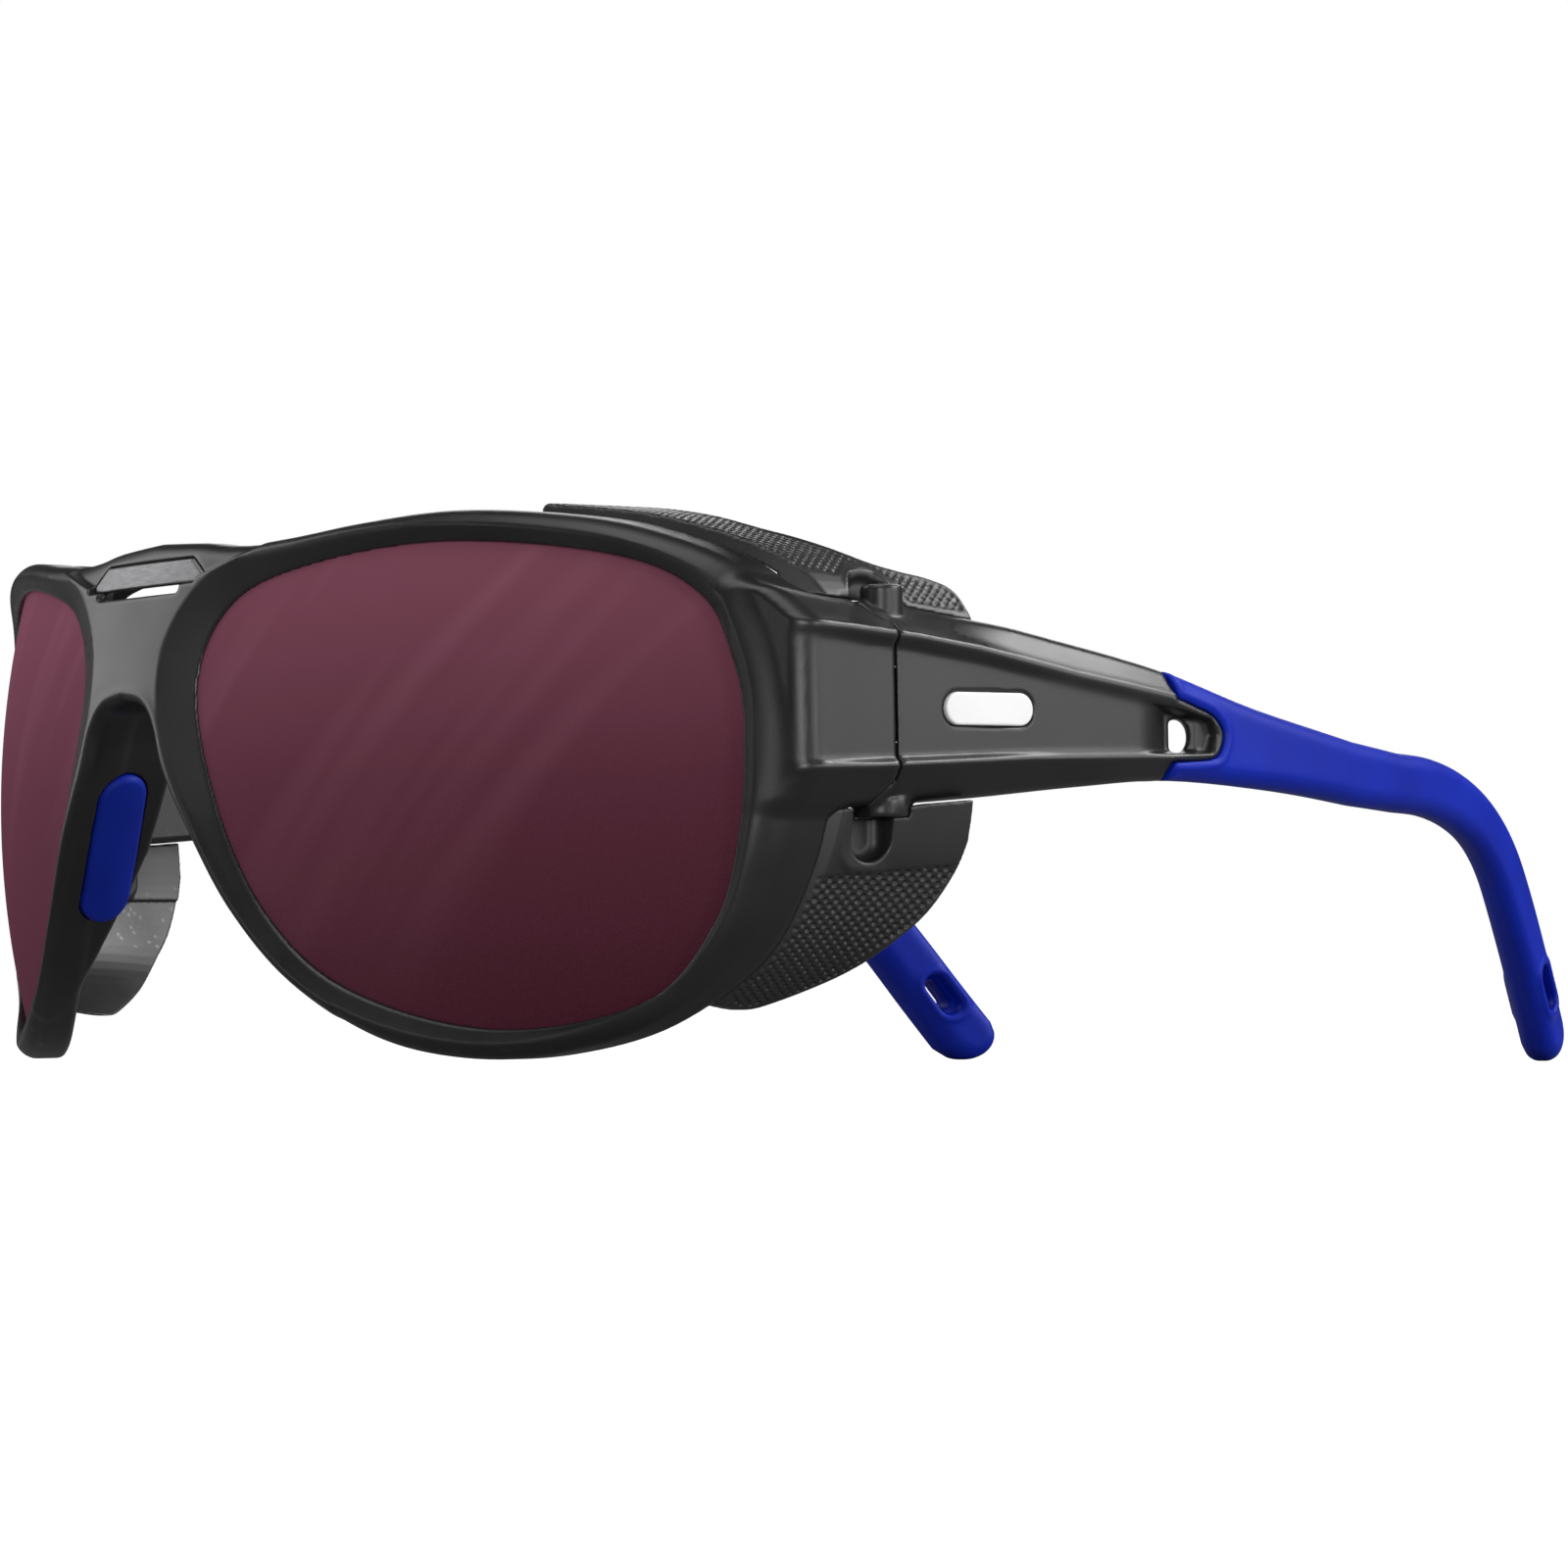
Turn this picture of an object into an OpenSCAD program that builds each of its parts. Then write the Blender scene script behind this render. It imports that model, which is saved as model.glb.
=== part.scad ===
// Glacier glasses: a wraparound front with two lenses, side shields and folding arms.
// +X is the wearer's left, the front looks along -Y and +Z is up.
// The origin is the centre of the bottom face of the box round the open glasses.

/* [Lenses] */
// Radius of the sphere that both lens faces lie on
lens_r = 99.2; // [98.8:0.1:99.6]
// Thickness of each lens
lens_t = 2.0; // [1.8:0.1:2.0]
// How far the lens edge reaches into the rim groove
groove_d = 0.9; // [0.7:0.1:1.1]

/* [Front frame] */
// How far the rim stands in front of the lens face
rim_front = 1.8; // [1.2:0.1:2.0]
// How far the rim reaches behind the lens face
rim_back = 3.4; // [3.2:0.1:3.6]
// Width of the step that opens the rim out in front of the lens
rim_step = 1.6; // [0.8:0.1:1.8]
// Thickness of the two walls that stand behind the nose opening
flange_t = 2.0; // [1.8:0.1:2.4]

/* [Brow badge] */
// Height of the badge plate
badge_h = 2.4; // [2.0:0.1:2.5]
// Half width of the badge plate along its lower edge
badge_half_w = 10.4; // [8:0.2:11]

/* [Nose pads] */
// Length of a nose pad
pad_l = 16; // [12:0.5:16]
// Width of a nose pad
pad_w = 5.4; // [4:0.2:5.6]
// Thickness of a nose pad
pad_t = 1.4; // [1.2:0.1:1.6]

/* [Arms] */
// Thickness of an arm
arm_t = 4.4; // [4.2:0.1:4.4]
// Radius of the inward bow of the rear part of an arm, to its middle
bow_r = 174; // [171:0.5:180]
// Where along the arm the bow starts
bow_y = 65; // [64:0.5:66]
// Width and thickness of the bendable wire inside an ear sleeve
wire_t = 1.6; // [1.2:0.1:1.8]

// Length of the plain inlay in the side of an arm
inlay_l = 11; // [8:0.5:12]
// Width of that inlay
inlay_w = 3.3; // [2:0.1:3.6]

/* [Hinge] */
// Distance of the hinge axis from the middle of the glasses
hinge_x = 69.8; // [69.7:0.1:69.9]
// Distance of the hinge axis behind the front of the lenses
hinge_y = 41.0; // [40.9:0.1:41.1]
// Radius of the hinge knuckles
knuckle_r = 3.1; // [3.0:0.05:3.15]
// Radius of the screw shank
screw_r = 0.8; // [0.6:0.05:0.9]

/* [Side shields] */
// Thickness of a side shield
shield_t = 1.6; // [1.2:0.1:1.8]

/* [Hidden] */

fit = 0.05;              // gap between pieces that are fixed together
gap = 0.25;              // gap between pieces that move past each other
far = 200;               // longer than any part, for cuts that go right through
sphere_fn = 180;         // facets of the large lens sphere in a preview
round_fn = 48;           // facets of the small rounds in a preview

rim_r_front = lens_r + rim_front;
rim_r_back = lens_r - rim_back;
brow_r = lens_r + 0.2;   // the brow bar lies behind the front of the rims
arm_out_x = hinge_x + arm_t;
arm_mid_x = hinge_x + arm_t / 2;
screw_hole_r = screw_r + fit;
insert_r = 1.5;
panel_d = 0.4;           // depth of the long shallow panel on the end piece and arm
pocket_r = knuckle_r + gap;
boss_r = 1.75;
head_r = 1.25;
boss_room_r = boss_r + gap;

// Heights along the hinge axis, from the bottom boss up to the top boss
boss_bottom = -4.1;
arm_bottom = -2.7;
knuckle_bottom = 3.5;
knuckle_top = 10.7;
arm_top = 17.0;
boss_top = 18.6;
pocket_bottom = -8.2;    // the shield's pockets round the bosses
pocket_top = 19.2;
middle_y = 75.75;        // from the front of the lens sphere to the middle of the glasses
floor_z = 29.5;          // from the lowest point up to the middle of the lens sphere
seam_y = hinge_y - 0.7;  // where the arm butts against the end piece

// A point on a smooth curve between b and c, a share t of the way along
function blend(a, b, c, d, t) =
    0.5 * (2 * b + (c - a) * t + (2 * a - 5 * b + 4 * c - d) * t * t
           + (3 * b - a - 3 * c + d) * t * t * t);

// A smooth closed curve through the points p, n steps to each point
function closed_curve(p, n) =
    let (m = len(p))
    [for (i = [0:m - 1]) for (k = [0:n - 1])
        blend(p[(i + m - 1) % m], p[i], p[(i + 1) % m], p[(i + 2) % m], k / n)];

// A smooth open curve through the points p, n steps to each point
function open_curve(p, n) =
    let (m = len(p) - 1)
    concat([for (i = [0:m - 1]) for (k = [0:n - 1])
        blend(p[max(i - 1, 0)], p[i], p[i + 1], p[min(i + 2, m)], k / n)], [p[m]]);

// The clockwise outline p moved outward by d
function grow(p, d) =
    let (m = len(p))
    [for (i = [0:m - 1])
        let (t = p[(i + 1) % m] - p[(i + m - 1) % m])
        p[i] + d * [-t[1], t[0]] / norm(t)];

// An outline's other half, mirrored and run backwards so that the two halves join
function flip(p) = [for (i = [len(p) - 1:-1:0]) [-p[i][0], p[i][1]]];

// Opening of the left rim, clockwise as x, z
opening = closed_curve([
    [40, 23.9], [55.7, 21.9], [63.8, 17.7], [67.5, 10.1], [68.3, 2.6], [67.7, -4.8],
    [65.2, -13.4], [58.5, -20.9], [44.5, -23.3], [28.8, -19.9], [19.8, -12],
    [14.2, -0.3], [11.0, 11.6], [15, 19.2], [25.1, 22.5]], 4);

// Right-hand half of the outer outline, from the brow down to the nose arch
half_outline = open_curve([
    [0, 25.9], [8, 25.5], [16.5, 24.7], [23, 25.4], [31, 26.6], [40, 27], [49, 26.3],
    [57.5, 24.5], [65.5, 20.5], [69.7, 14.3], [71.5, 6], [71.3, -1], [69.6, -8.9],
    [65.5, -17.1], [57.7, -23.1], [49, -25.7], [40.5, -26.1], [32, -24.6],
    [22.8, -19.2], [16.3, -11.9], [11.7, -4.5], [7.3, 2.5], [5, 7.6], [2.8, 10.2],
    [0, 10.9]], 3);
outline = concat(half_outline, flip(half_outline));

// Middle line of the rear of an arm as y, z, where it drops behind the ear to its tip
tip_center = [149.3, -26.5];
tip_w = 6;               // width of an ear tip in side view
ear_line = open_curve([
    [113, 0.3], [118.5, 0], [124, -1], [129, -2.7], [133, -5], [136.3, -7.9], [139.2, -11.6],
    [142.7, -16.6], [146, -21.6], tip_center], 2);

// Unit vector square to a line at its point i, to the left of its run
function square_to(line, i) =
    let (m = len(line) - 1, t = line[min(i + 1, m)] - line[max(i - 1, 0)])
    [-t[1], t[0]] / norm(t);

// The points of a line moved sideways by d
function beside(line, d) = [for (i = [0:len(line) - 1]) line[i] + d * square_to(line, i)];

function reversed(p) = [for (i = [len(p) - 1:-1:0]) p[i]];

// Upper and lower edges of the front of an arm, as y, z
arm_top_edge = open_curve([
    [38, 17.2], [50.6, 15.3], [64.3, 12.8], [75, 10.6], [88.3, 7.2], [104.5, 4.3]], 3);
arm_bottom_edge = open_curve([
    [104.5, -2.2], [91.8, -0.9], [76, 0], [63.9, -0.7], [50.2, -1.9], [38, -2.75]], 3);
tip_arc = [for (a = [10:-24:-110]) tip_center + tip_w / 2 * [cos(a), sin(a)]];
arm_side = concat(arm_top_edge, beside(ear_line, tip_w / 2 + 0.1), tip_arc,
                  reversed(beside(ear_line, -tip_w / 2 - 0.1)), arm_bottom_edge);

// Where the hard arm stops and the soft sleeve starts: a lip with a tongue behind it
tongue_edge = open_curve([
    [75.9, 8.2], [78.6, 7.4], [81, 6.5], [82.4, 4.8], [81.8, 2.8], [80.2, 2.0], [75.3, 1.7]], 3);
hard_side = concat([[20, 30], [75.2, 30], [75, 10.9]], tongue_edge, [[74.8, 0], [74.8, -9], [20, -9]]);

// Lengthwise line of the wire, from inside the arm to near the tip of the sleeve
wire_line = concat(open_curve([[79, 4.3], [92, 2.6], [104, 1.1]], 3),
                   [for (i = [2:2:14]) ear_line[i]]);

module along_y(y0, y1) translate([0, y1, 0]) rotate([90, 0, 0]) linear_extrude(y1 - y0) children();
module along_x(x0, x1) translate([x0, 0, 0]) rotate([90, 0, 90]) linear_extrude(x1 - x0) children();
module both_sides() {
    children();
    mirror([1, 0, 0]) children();
}
module other_side() mirror([1, 0, 0]) children();

module ball(r) translate([0, lens_r, 0]) sphere(r, $fn = sphere_fn);

// The part of the lens sphere's wall between radii r_in and r_out, in front of its middle
module shell(r_in, r_out) difference() {
    ball(r_out);
    ball(r_in);
}

module slot_shape(l, w) {
    square([l - w, w], center = true);
    for (s = [-1, 1]) translate([s * (l - w) / 2, 0]) circle(w / 2, $fn = round_fn);
}

// Puts a piece drawn from the front of the lens sphere into the part's own frame
module placed() translate([0, -middle_y, floor_z]) children();

module on_hinge(z0, z1, r) translate([hinge_x, hinge_y, z0]) cylinder(z1 - z0, r, r, $fn = round_fn);

// ---- Front ----

// The nose wall's plan: a band just inside the outline, beside the nose
module flange_band() difference() {
    intersection() {
        polygon(outline);
        translate([-24, -20.5]) square([48, 34]);
    }
    polygon(grow(outline, -flange_t));
}

// Side view of the nose walls as y, z
flange_side = [[-1.5, 13.4], [5, 13.4], [7.8, 8.5], [9.2, 3.4], [9.8, -4.5], [9.8, -10],
               [9.5, -14], [8.8, -18], [6, -20.4], [-1.5, -20.4]];

module brow_step_area() polygon([[-17, 24.9], [-12, 21.8], [-7, 21.2], [7, 21.2], [12, 21.8],
                                 [17, 24.9], [17, 30], [-17, 30]]);

module end_piece() {
    plan = [[66.5, 26.5], [70.6, 26.5], [72.9, 28.4], [arm_out_x, 31], [arm_out_x, seam_y - gap],
            [66.5, seam_y - gap]];
    translate([0, 0, arm_bottom]) linear_extrude(arm_top - arm_bottom) polygon(plan);
}

module end_piece_cuts() {
    // pockets for the arm's two knuckles
    on_hinge(arm_bottom - 1, knuckle_bottom, pocket_r);
    on_hinge(knuckle_top, arm_top + 1, pocket_r);
    // shallow panel that carries on into the arm
    along_x(arm_out_x - panel_d, arm_out_x + 1)
        polygon([[31.5, 13.8], [hinge_y, 13.1], [hinge_y, 1], [31.5, 0.9]]);
}

module middle_knuckle() difference() {
    union() {
        on_hinge(knuckle_bottom + fit, knuckle_top - fit, knuckle_r);
        translate([hinge_x - knuckle_r, hinge_y - 4, knuckle_bottom + fit])
            cube([2 * knuckle_r, 4, knuckle_top - knuckle_bottom - 2 * fit]);
    }
    on_hinge(knuckle_bottom - 1, knuckle_top + 1, screw_hole_r);
}

module rim_opening() {
    along_y(-5, 60) polygon(opening);
    intersection() {
        along_y(-5, 60) polygon(grow(opening, rim_step));
        shell(lens_r + fit, rim_r_front + 5);
    }
    intersection() {
        along_y(-5, 60) polygon(grow(opening, groove_d));
        shell(lens_r - lens_t - fit, lens_r + fit);
    }
}

module front_frame() color([0.09, 0.09, 0.10]) placed() difference() {
    union() {
        difference() {
            union() {
                intersection() {
                    along_y(-5, 60) polygon(outline);
                    shell(rim_r_back, rim_r_front);
                }
                both_sides() end_piece();
            }
            both_sides() end_piece_cuts();
        }
        intersection() {
            along_y(-5, 12) flange_band();
            along_x(-30, 30) polygon(flange_side);
            ball(rim_r_front);
        }
        both_sides() middle_knuckle();
    }
    both_sides() rim_opening();
    // the brow bar lies further back than the rims, with a slot under it
    intersection() {
        along_y(-5, 20) brow_step_area();
        shell(brow_r, rim_r_front + 5);
    }
    along_y(-5, 20) translate([0, 21.3]) slot_shape(16, 1.0);
    intersection() {
        along_y(-5, 20) badge_outline(fit);
        shell(brow_r - 0.6, brow_r + 2);
    }
    both_sides() place_pad() translate([0, 0, -pad_t / 2 - fit])
        linear_extrude(9) slot_shape(pad_l + 2 * fit, pad_w + 2 * fit);
}

module badge_outline(d) {
    top_w = badge_half_w - 2.9;
    z0 = 21.7;
    polygon([[-badge_half_w - d, z0 - d], [-top_w - d, z0 + badge_h + d],
             [top_w + d, z0 + badge_h + d], [badge_half_w + d, z0 - d]]);
}

module brow_badge() color([0.66, 0.66, 0.68]) placed() intersection() {
    along_y(-5, 20) badge_outline(0);
    shell(brow_r - 0.6 + fit, brow_r + 0.45);
}

module left_lens() color([0.42, 0.18, 0.26, 0.85]) placed() intersection() {
    along_y(-5, 60) polygon(grow(opening, groove_d - 0.1));
    shell(lens_r - lens_t, lens_r);
}

// Puts a pad's own frame (long axis X, outward face +Z) on the left nose wall
module place_pad() translate([11.9, 5.6, -4.7]) rotate([0, 58, 0]) rotate([180, 0, 8])
    children();

module left_nose_pad() color([0.10, 0.16, 0.70]) placed() place_pad()
    translate([0, 0, -pad_t / 2]) linear_extrude(pad_t) slot_shape(pad_l, pad_w);

// ---- Arms ----

// The space an arm may fill: straight, then bowed inward behind bow_y
module bowed(t) {
    translate([arm_mid_x - t / 2, 20, -60]) cube([t, bow_y - 20, 120]);
    intersection() {
        translate([arm_mid_x - bow_r, bow_y, -60]) difference() {
            cylinder(120, bow_r + t / 2, bow_r + t / 2, $fn = 2 * sphere_fn);
            translate([0, 0, -1]) cylinder(122, bow_r - t / 2, bow_r - t / 2, $fn = 2 * sphere_fn);
        }
        translate([0, bow_y, -60]) cube([far, far, 120]);
    }
}

module wire_band(d) polygon(concat(beside(wire_line, wire_t / 2 + d),
                                   reversed(beside(wire_line, -wire_t / 2 - d))));

module hard_arm_side() intersection() {
    polygon(arm_side);
    polygon(hard_side);
}

module left_temple() color([0.13, 0.13, 0.14]) placed() difference() {
    union() {
        intersection() {
            bowed(arm_t);
            difference() {
                along_x(40, 80) hard_arm_side();
                translate([0, -far + seam_y, -50]) cube([far, far, 100]);
            }
        }
        on_hinge(arm_bottom, knuckle_bottom - gap / 2, knuckle_r);
        on_hinge(knuckle_top + gap / 2, arm_top, knuckle_r);
        on_hinge(boss_bottom, arm_bottom + 1, boss_r);
        on_hinge(arm_top - 1, boss_top, boss_r);
    }
    // room for the middle knuckle
    on_hinge(knuckle_bottom - gap / 2, knuckle_top + gap / 2, pocket_r);
    // screw hole, its head recess and the seat of the threaded insert
    on_hinge(knuckle_top - 1, boss_top + 1, screw_hole_r);
    on_hinge(boss_top - 1.1, boss_top + 1, head_r + fit);
    on_hinge(arm_bottom + 0.4, knuckle_bottom + 1, insert_r + fit);
    // shallow panel, and the recess of the inlay in it
    along_x(arm_out_x - panel_d, arm_out_x + 1)
        polygon([[seam_y - 1, 13.1], [57, 10.9], [58.5, 6.4], [57, 1.9], [seam_y - 1, 1]]);
    along_x(arm_out_x - 1, arm_out_x + 1) inlay_place() slot_shape(inlay_l + 2 * fit, inlay_w + 2 * fit);
    // vent through the tongue
    along_x(40, 90) translate([76, 4.5]) {
        intersection() {
            circle(1.6, $fn = round_fn);
            translate([-1.2, -2]) square([4, 4]);
        }
    }
    // channel for the wire
    intersection() {
        bowed(wire_t + 2 * fit);
        along_x(40, 80) wire_band(fit);
    }
}

module left_ear_sleeve() color([0.08, 0.12, 0.72]) placed() difference() {
    intersection() {
        bowed(arm_t);
        along_x(40, 80) polygon(arm_side);
    }
    along_x(30, 90) polygon(grow(hard_side, fit));
    intersection() {
        bowed(wire_t + 2 * fit);
        along_x(40, 80) wire_band(fit);
    }
    // cord slot, with a wider recess on its outer face
    along_x(40, 80) cord_slot_place() slot_shape(4.2, 1.8);
    intersection() {
        along_x(40, 80) cord_slot_place() slot_shape(6.6, 3.2);
        translate([arm_mid_x - bow_r, bow_y, -60]) difference() {
            cylinder(120, bow_r + arm_t, bow_r + arm_t, $fn = 2 * sphere_fn);
            translate([0, 0, -1]) cylinder(122, bow_r + arm_t / 2 - 0.7, bow_r + arm_t / 2 - 0.7,
                                           $fn = 2 * sphere_fn);
        }
    }
}

module cord_slot_place() translate([146, -21.4]) rotate(-57) children();

module left_core_wire() color([0.75, 0.75, 0.77]) placed() intersection() {
    bowed(wire_t);
    along_x(40, 80) wire_band(0);
    translate([0, 79.4, -50]) cube([far, far, 100]);
}

module left_hinge_screw() color([0.72, 0.72, 0.74]) placed() difference() {
    union() {
        on_hinge(boss_top - 1, boss_top - 0.1, head_r);
        on_hinge(arm_bottom + 0.9, boss_top - 0.5, screw_r);
    }
    translate([hinge_x - 2, hinge_y - 0.2, boss_top - 0.5]) cube([4, 0.4, 2]);
}

module left_threaded_insert() color([0.78, 0.60, 0.28]) placed() difference() {
    on_hinge(arm_bottom + 0.5, knuckle_bottom - 0.5, insert_r);
    on_hinge(arm_bottom, knuckle_bottom, screw_hole_r);
}

module left_temple_inlay() color([0.95, 0.95, 0.95]) placed()
    along_x(arm_out_x - 1 + fit, arm_out_x - 0.3) inlay_place() slot_shape(inlay_l, inlay_w);

module inlay_place() translate([51.4, 6.7]) children();

// ---- Side shields ----

// A band that follows the rim's outline, from lift outside it to shield_t below that
module rim_band(lift) difference() {
    polygon(grow(outline, lift));
    polygon(grow(outline, lift - shield_t));
}

// Plan of the upper wing as x, y: it reaches back over the hinge
upper_plan = open_curve([
    [45.3, 10], [45.3, 31], [47.6, 35.4], [54, 36.5], [58.8, 37.2], [61.5, 38.6], [63.8, 40.3],
    [65.6, 42.5], [66.6, 45.4], [67.3, 49], [68.2, 51.5], [69.8, 52.6]], 2);
// Side view of the lower wing as y, z
lower_side = open_curve([[50.1, -2.4], [49.9, -6], [49.1, -8.8], [47.6, -12.7], [45, -15.3],
                         [42.2, -17.8], [39.6, -19.3], [35.4, -21.2], [32.8, -21.9], [28, -21.4],
                         [20, -20]], 2);

module upper_wing() intersection() {
    along_y(5, 60) intersection() {
        rim_band(0.9);
        polygon([[40, 30], [80, 30], [80, 16.4], [66, 17.3], [60, 17.3], [40, 24]]);
    }
    translate([0, 0, 10]) linear_extrude(30) polygon(concat(upper_plan, [[80, 52.6], [80, 10]]));
}

module lower_wing() intersection() {
    along_y(5, 60) intersection() {
        rim_band(0.8);
        translate([56, -30]) square([30, 27.5]);
    }
    along_x(40, 80) polygon(concat(lower_side, [[20, -3.1], [hinge_y, -3.1]]));
}

module shield_band() {
    x_in = 64.4;
    y_rear = 38.4;
    translate([x_in, 25, -4.6]) cube([shield_t, y_rear - 25, 23.6]);
    translate([x_in, 25, arm_top + gap]) cube([4.2, y_rear - 25, 2.3]);
    translate([x_in, 25, -4.9]) cube([5.4, y_rear - 25, 1.8]);
}

module left_side_shield() color([0.11, 0.11, 0.12]) placed() difference() {
    intersection() {
        union() {
            upper_wing();
            lower_wing();
            shield_band();
            // walls of the pockets round the two bosses
            intersection() {
                union() {
                    on_hinge(pocket_bottom - shield_t, -3.1, boss_room_r + shield_t);
                    on_hinge(arm_top + gap, pocket_top + shield_t, boss_room_r + shield_t);
                }
                translate([60, 30, -20]) cube([8.6, 20, 60]);
            }
        }
        ball(rim_r_back - gap);
    }
    pocket(pocket_bottom, 0);
    pocket(arm_top - 2, pocket_top);
}

// Room for a boss, open towards the outside
module pocket(z0, z1) {
    on_hinge(z0, z1, boss_room_r);
    translate([hinge_x, hinge_y - boss_room_r, z0]) cube([6, 2 * boss_room_r, z1 - z0]);
}

// ---- Right-hand pieces mirror the left-hand ones ----

module right_lens() other_side() left_lens();
module right_nose_pad() other_side() left_nose_pad();
module right_temple() other_side() left_temple();
module right_ear_sleeve() other_side() left_ear_sleeve();
module right_core_wire() other_side() left_core_wire();
module right_hinge_screw() other_side() left_hinge_screw();
module right_threaded_insert() other_side() left_threaded_insert();
module right_side_shield() other_side() left_side_shield();
module right_temple_inlay() other_side() left_temple_inlay();

front_frame();
brow_badge();
left_lens();
right_lens();
left_nose_pad();
right_nose_pad();
left_temple();
right_temple();
left_ear_sleeve();
right_ear_sleeve();
left_core_wire();
right_core_wire();
left_hinge_screw();
right_hinge_screw();
left_threaded_insert();
right_threaded_insert();
left_side_shield();
right_side_shield();
left_temple_inlay();
right_temple_inlay();
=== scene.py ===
import math

import bpy
import numpy as np
from mathutils import Matrix, Vector

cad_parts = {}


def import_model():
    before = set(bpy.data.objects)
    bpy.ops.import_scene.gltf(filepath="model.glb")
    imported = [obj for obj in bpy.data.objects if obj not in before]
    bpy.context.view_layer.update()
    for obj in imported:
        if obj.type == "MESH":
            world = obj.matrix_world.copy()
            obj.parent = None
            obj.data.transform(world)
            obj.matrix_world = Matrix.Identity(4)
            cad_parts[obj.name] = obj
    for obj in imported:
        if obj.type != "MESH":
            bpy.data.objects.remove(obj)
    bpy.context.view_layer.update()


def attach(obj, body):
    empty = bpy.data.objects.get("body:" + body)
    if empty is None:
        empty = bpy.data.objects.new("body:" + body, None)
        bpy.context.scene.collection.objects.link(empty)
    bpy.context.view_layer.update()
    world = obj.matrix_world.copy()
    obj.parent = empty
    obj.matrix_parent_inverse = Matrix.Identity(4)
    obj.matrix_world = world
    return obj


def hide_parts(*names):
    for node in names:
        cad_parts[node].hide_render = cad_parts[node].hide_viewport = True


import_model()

# Shapes below are drawn in millimetres from the front of the sphere both lenses lie on:
# +X is the wearer's left, -Y the front and +Z up. to_row() takes them into the row frame.
MIDDLE_Y = 75.75
FLOOR_Z = 29.5
LENS_R = 99.2
LENS_T = 2.0
CREST_R = 101.0
BACK_R = 95.9
BROW_R = 100.0
HINGE_X, HINGE_Y = 69.8, 41.0
KNUCKLE_R = 3.1
KNUCKLE_SPACE_R = 3.35
KNUCKLE_MID_Z = 7.1
SCREW_HOLE_R = 0.9
ARM_HALF_T = 2.2
ARM_MID_X = HINGE_X + ARM_HALF_T
BOW_R, BOW_Y = 174.0, 65.0
SEAM_Y = 40.3
INLAY_Y, INLAY_Z = 51.4, 6.7
SHIELD_T = 1.5
SHIELD_PITCH = 0.16


# ---- Curves and distances ----

def blend(a, b, c, d, t):
    return 0.5 * (2 * b + (c - a) * t + (2 * a - 5 * b + 4 * c - d) * t * t
                  + (3 * b - a - 3 * c + d) * t ** 3)


def closed_curve(points, n=8):
    p = np.array(points, float)
    m = len(p)
    return np.array([blend(p[i - 1], p[i], p[(i + 1) % m], p[(i + 2) % m], k / n)
                     for i in range(m) for k in range(n)])


def open_curve(points, n=8):
    p = np.array(points, float)
    m = len(p) - 1
    out = [blend(p[max(i - 1, 0)], p[i], p[i + 1], p[min(i + 2, m)], k / n)
           for i in range(m) for k in range(n)]
    return np.array(out + [p[m]])


def beside(line, d):
    t = np.gradient(line, axis=0)
    t /= np.linalg.norm(t, axis=1)[:, None]
    return line + d * np.stack([-t[:, 1], t[:, 0]], 1)


def path_distance(x, y, path, closed=False):
    """Distance from each point to a path, and how far along the path the nearest point is."""
    ends = np.roll(path, -1, axis=0) if closed else path[1:]
    best = np.full(np.shape(x), 1e9)
    along = np.zeros(np.shape(x))
    start = 0.0
    for a, b in zip(path, ends):
        e = b - a
        length = math.hypot(*e)
        if length < 1e-9:
            continue
        wx, wy = x - a[0], y - a[1]
        t = np.clip((wx * e[0] + wy * e[1]) / length ** 2, 0, 1)
        d = (wx - t * e[0]) ** 2 + (wy - t * e[1]) ** 2
        near = d < best
        best = np.where(near, d, best)
        along = np.where(near, start + t * length, along)
        start += length
    return np.sqrt(best), along


def inside(x, y, outline):
    hit = np.zeros(np.shape(x), bool)
    for a, b in zip(outline, np.roll(outline, -1, axis=0)):
        if a[1] == b[1]:
            continue
        crosses = (a[1] <= y) != (b[1] <= y)
        hit ^= crosses & (x < a[0] + (y - a[1]) * (b[0] - a[0]) / (b[1] - a[1]))
    return hit


def area_distance(x, y, outline):
    """Distance to an outline, negative inside it."""
    outline = np.array(outline, float)
    d, _ = path_distance(x, y, outline, closed=True)
    return np.where(inside(x, y, outline), -d, d)


def step(v, low, high):
    t = np.clip((v - low) / (high - low), 0, 1)
    return t * t * (3 - 2 * t)


def bump(v, width):
    return np.exp(-(v / width) ** 2)


def both(a, b, r=0.0):
    """Where both solids are, with the edge between them rounded to radius r."""
    if r <= 0:
        return np.maximum(a, b)
    return np.minimum(np.maximum(a, b), -r) + np.hypot(np.maximum(a + r, 0), np.maximum(b + r, 0))


def either(a, b, r=0.0):
    return -both(-a, -b, r)


def slot(u, v, length, width):
    return np.hypot(np.maximum(np.abs(u) - (length - width) / 2, 0), v) - width / 2


def axis(low, high, pitch):
    return np.linspace(low, high, max(int(round((high - low) / pitch)), 1) + 1)


# ---- Meshes from distances ----

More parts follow.
